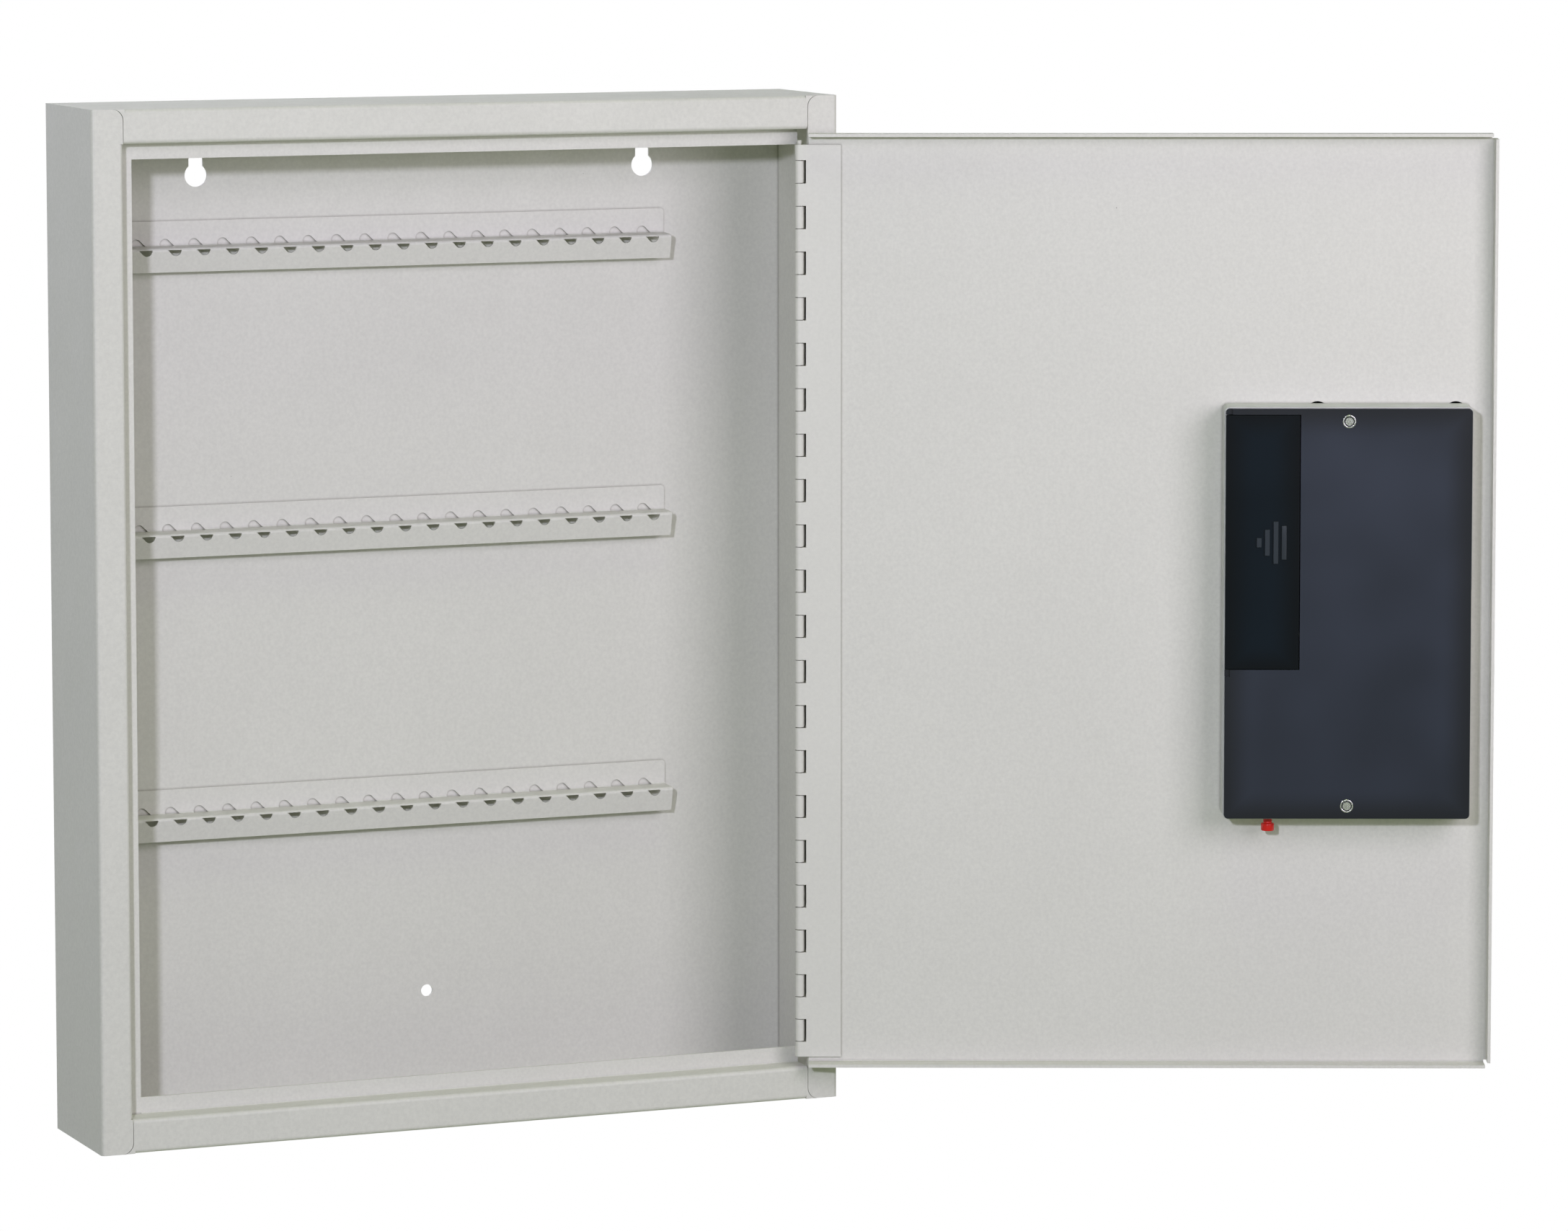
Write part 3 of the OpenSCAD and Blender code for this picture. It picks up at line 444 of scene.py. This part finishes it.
def make_materials():
    steel = (0.62, 0.63, 0.65)
    return {
        "painted_sheet": powder_coat("painted_sheet"),
        "painted_sides": powder_coat("painted_sides"),
        "hinge_paint": powder_coat("hinge_paint", grain=0.6),
        "pin_steel": powder_coat("pin_steel", grain=0.5),
        "zinc_steel": metal("zinc_steel", steel, 0.34, (1, 1, 0.1)),
        "housing_plastic": moulded("housing_plastic", (0.60, 0.62, 0.59), 0.4),
        "black_plastic": black_cover("black_plastic", BLACK, "rear_cover"),
        # The battery cover's grip ridges get a painted highlight.
        "battery_plastic": black_cover(
            "battery_plastic", BATTERY_BLACK, "battery_cover", gloss=0.22, ridge_highlight=0.25
        ),
        "chrome_screw": metal("chrome_screw", (0.92, 0.93, 0.94), 0.22, tarnish=(0.5, 0.5, 0.5)),
        "cell_wrap": moulded("cell_wrap", (0.02, 0.05, 0.12), 0.25),
        "board": circuit_board("board"),
        "ribbon": ribbon("ribbon"),
        "coil": winding("coil"),
        "red_plastic": moulded("red_plastic", (0.62, 0.012, 0.010), 0.26, depth=0.004 * MM),
        "key_plastic": moulded("key_plastic", (0.13, 0.135, 0.145), 0.4),
        "mat_rubber": rubber("mat_rubber"),
        "lens": clear_lens("lens", (0.10, 0.55, 0.18)),
        "knob_plastic": moulded("knob_plastic", (0.016, 0.018, 0.022), 0.36),
        "marking": moulded("marking", (0.82, 0.82, 0.80), 0.45),
    }


# ---------- CAD nodes: edges and materials ----------

# Width of the rounded edge that each node gets, in metres
EDGE_WIDTH = {
    "lock_housing": 0.35 * MM,
    "rear_cover": 0.3 * MM,
    "battery_cover": 0.42 * MM,
    "keypad_frame": 0.8 * MM,
    "knob": 0.6 * MM,
    "reset_button": 0.35 * MM,
    "strike_plate": 0.2 * MM,
    "cover_screws": 0.08 * MM,
    "screw_rings": 0.25 * MM,
    "bolt": 0.3 * MM,
}
KEY_NODES = {"key_" + name: name for name in "123456789"}
KEY_NODES.update({"key_0": "0", "key_star": "*", "key_hash": "#"})
EDGE_WIDTH.update({name: 0.4 * MM for name in KEY_NODES})
# Vertices closer than this are one vertex, and faces within this angle are one face
WELD_DISTANCE = 0.001 * MM
FLAT_ANGLE = math.radians(0.5)
# Edges sharper than this are rounded, in this many steps
SHARP_ANGLE = math.radians(35)
ROUNDING_STEPS = 3


def soften_edges(piece, width):
    weld = piece.modifiers.new("weld", "WELD")
    weld.merge_threshold = WELD_DISTANCE
    whole_faces = piece.modifiers.new("whole_faces", "DECIMATE")
    whole_faces.decimate_type = "DISSOLVE"
    whole_faces.angle_limit = FLAT_ANGLE
    bevel = piece.modifiers.new("bevel", "BEVEL")
    bevel.width = width
    bevel.segments = ROUNDING_STEPS
    bevel.limit_method = "ANGLE"
    bevel.angle_limit = SHARP_ANGLE
    bevel.harden_normals = True


def dress_nodes(materials):
    slot_of = {part["node"]: part["material_slot"] for part in frame["record"]["subparts"]}
    for name, piece in nodes.items():
        piece.data.materials.clear()
        piece.data.materials.append(materials[slot_of[name]])
        if name in EDGE_WIDTH:
            soften_edges(piece, EDGE_WIDTH[name])


# ---------- Added pieces ----------

MARKING_SIZE = 7 * MM
MARKING_DEPTH = 0.06 * MM
MARKING_EDGE = 0.02 * MM
POINTER_WIDTH = 1.8 * MM
POINTER_HEIGHT = 0.5 * MM
POINTER_EDGE = 0.18 * MM
# Length of the pointer and place of its middle, as shares of the knob's radius
POINTER_LENGTH = 0.62
POINTER_PLACE = 0.42


def face_centre(node):
    """Middle of a node's outer face on the door."""
    across = sum(reach(node, ALONG)) / 2
    height = sum(reach(node, UP)) / 2
    return ALONG * across + UP * height + OUTWARDS * reach(node, OUTWARDS)[1]


def facing_out(centre):
    """Frame at centre on the door's outside, with X to a viewer's right and Z outwards."""
    turn = Matrix((-ALONG, UP, OUTWARDS)).transposed().to_4x4()
    return Matrix.Translation(centre) @ turn


def add_marking(name, text, centre, material, body):
    """Thin raised characters that lie on a face of the door's outside."""
    curve = bpy.data.curves.new(name, "FONT")
    curve.body = text
    curve.size = MARKING_SIZE
    curve.align_x = "CENTER"
    curve.align_y = "CENTER"
    curve.extrude = MARKING_DEPTH
    curve.bevel_depth = MARKING_EDGE
    drawn = bpy.data.objects.new(name + "_curve", curve)
    scene.collection.objects.link(drawn)
    bpy.context.view_layer.update()
    mesh = bpy.data.meshes.new_from_object(drawn)
    bpy.data.objects.remove(drawn)
    shape = [vertex.co for vertex in mesh.vertices]
    middle = Vector([(min(c) + max(c)) / 2 for c in zip(*shape)])
    mesh.transform(facing_out(centre) @ Matrix.Translation(-middle))
    piece = bpy.data.objects.new(name, mesh)
    scene.collection.objects.link(piece)
    mesh.materials.append(material)
    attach(piece, body)


def add_key_markings(material):
    for node, symbol in KEY_NODES.items():
        add_marking("marking_" + node, symbol, face_centre(node), material, node + "_cap")


def add_knob_pointer(material):
    """Raised line on the knob's face that shows its angle."""
    low, high = reach("knob", UP)
    radius = (high - low) / 2
    centre = face_centre("knob")
    mesh = bpy.data.meshes.new("knob_pointer")
    shape = bmesh.new()
    bmesh.ops.create_cube(shape, size=1)
    size = (POINTER_WIDTH, radius * POINTER_LENGTH, POINTER_HEIGHT)
    bmesh.ops.scale(shape, vec=size, verts=shape.verts)
    bmesh.ops.bevel(shape, geom=shape.edges[:], offset=POINTER_EDGE, segments=2, affect="EDGES")
    shape.to_mesh(mesh)
    shape.free()
    mesh.transform(facing_out(centre + UP * radius * POINTER_PLACE))
    piece = bpy.data.objects.new("knob_pointer", mesh)
    scene.collection.objects.link(piece)
    mesh.materials.append(material)
    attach(piece, "knob")


make_camera()
make_studio()
materials = make_materials()
dress_nodes(materials)
add_key_markings(materials["marking"])
add_knob_pointer(materials["marking"])
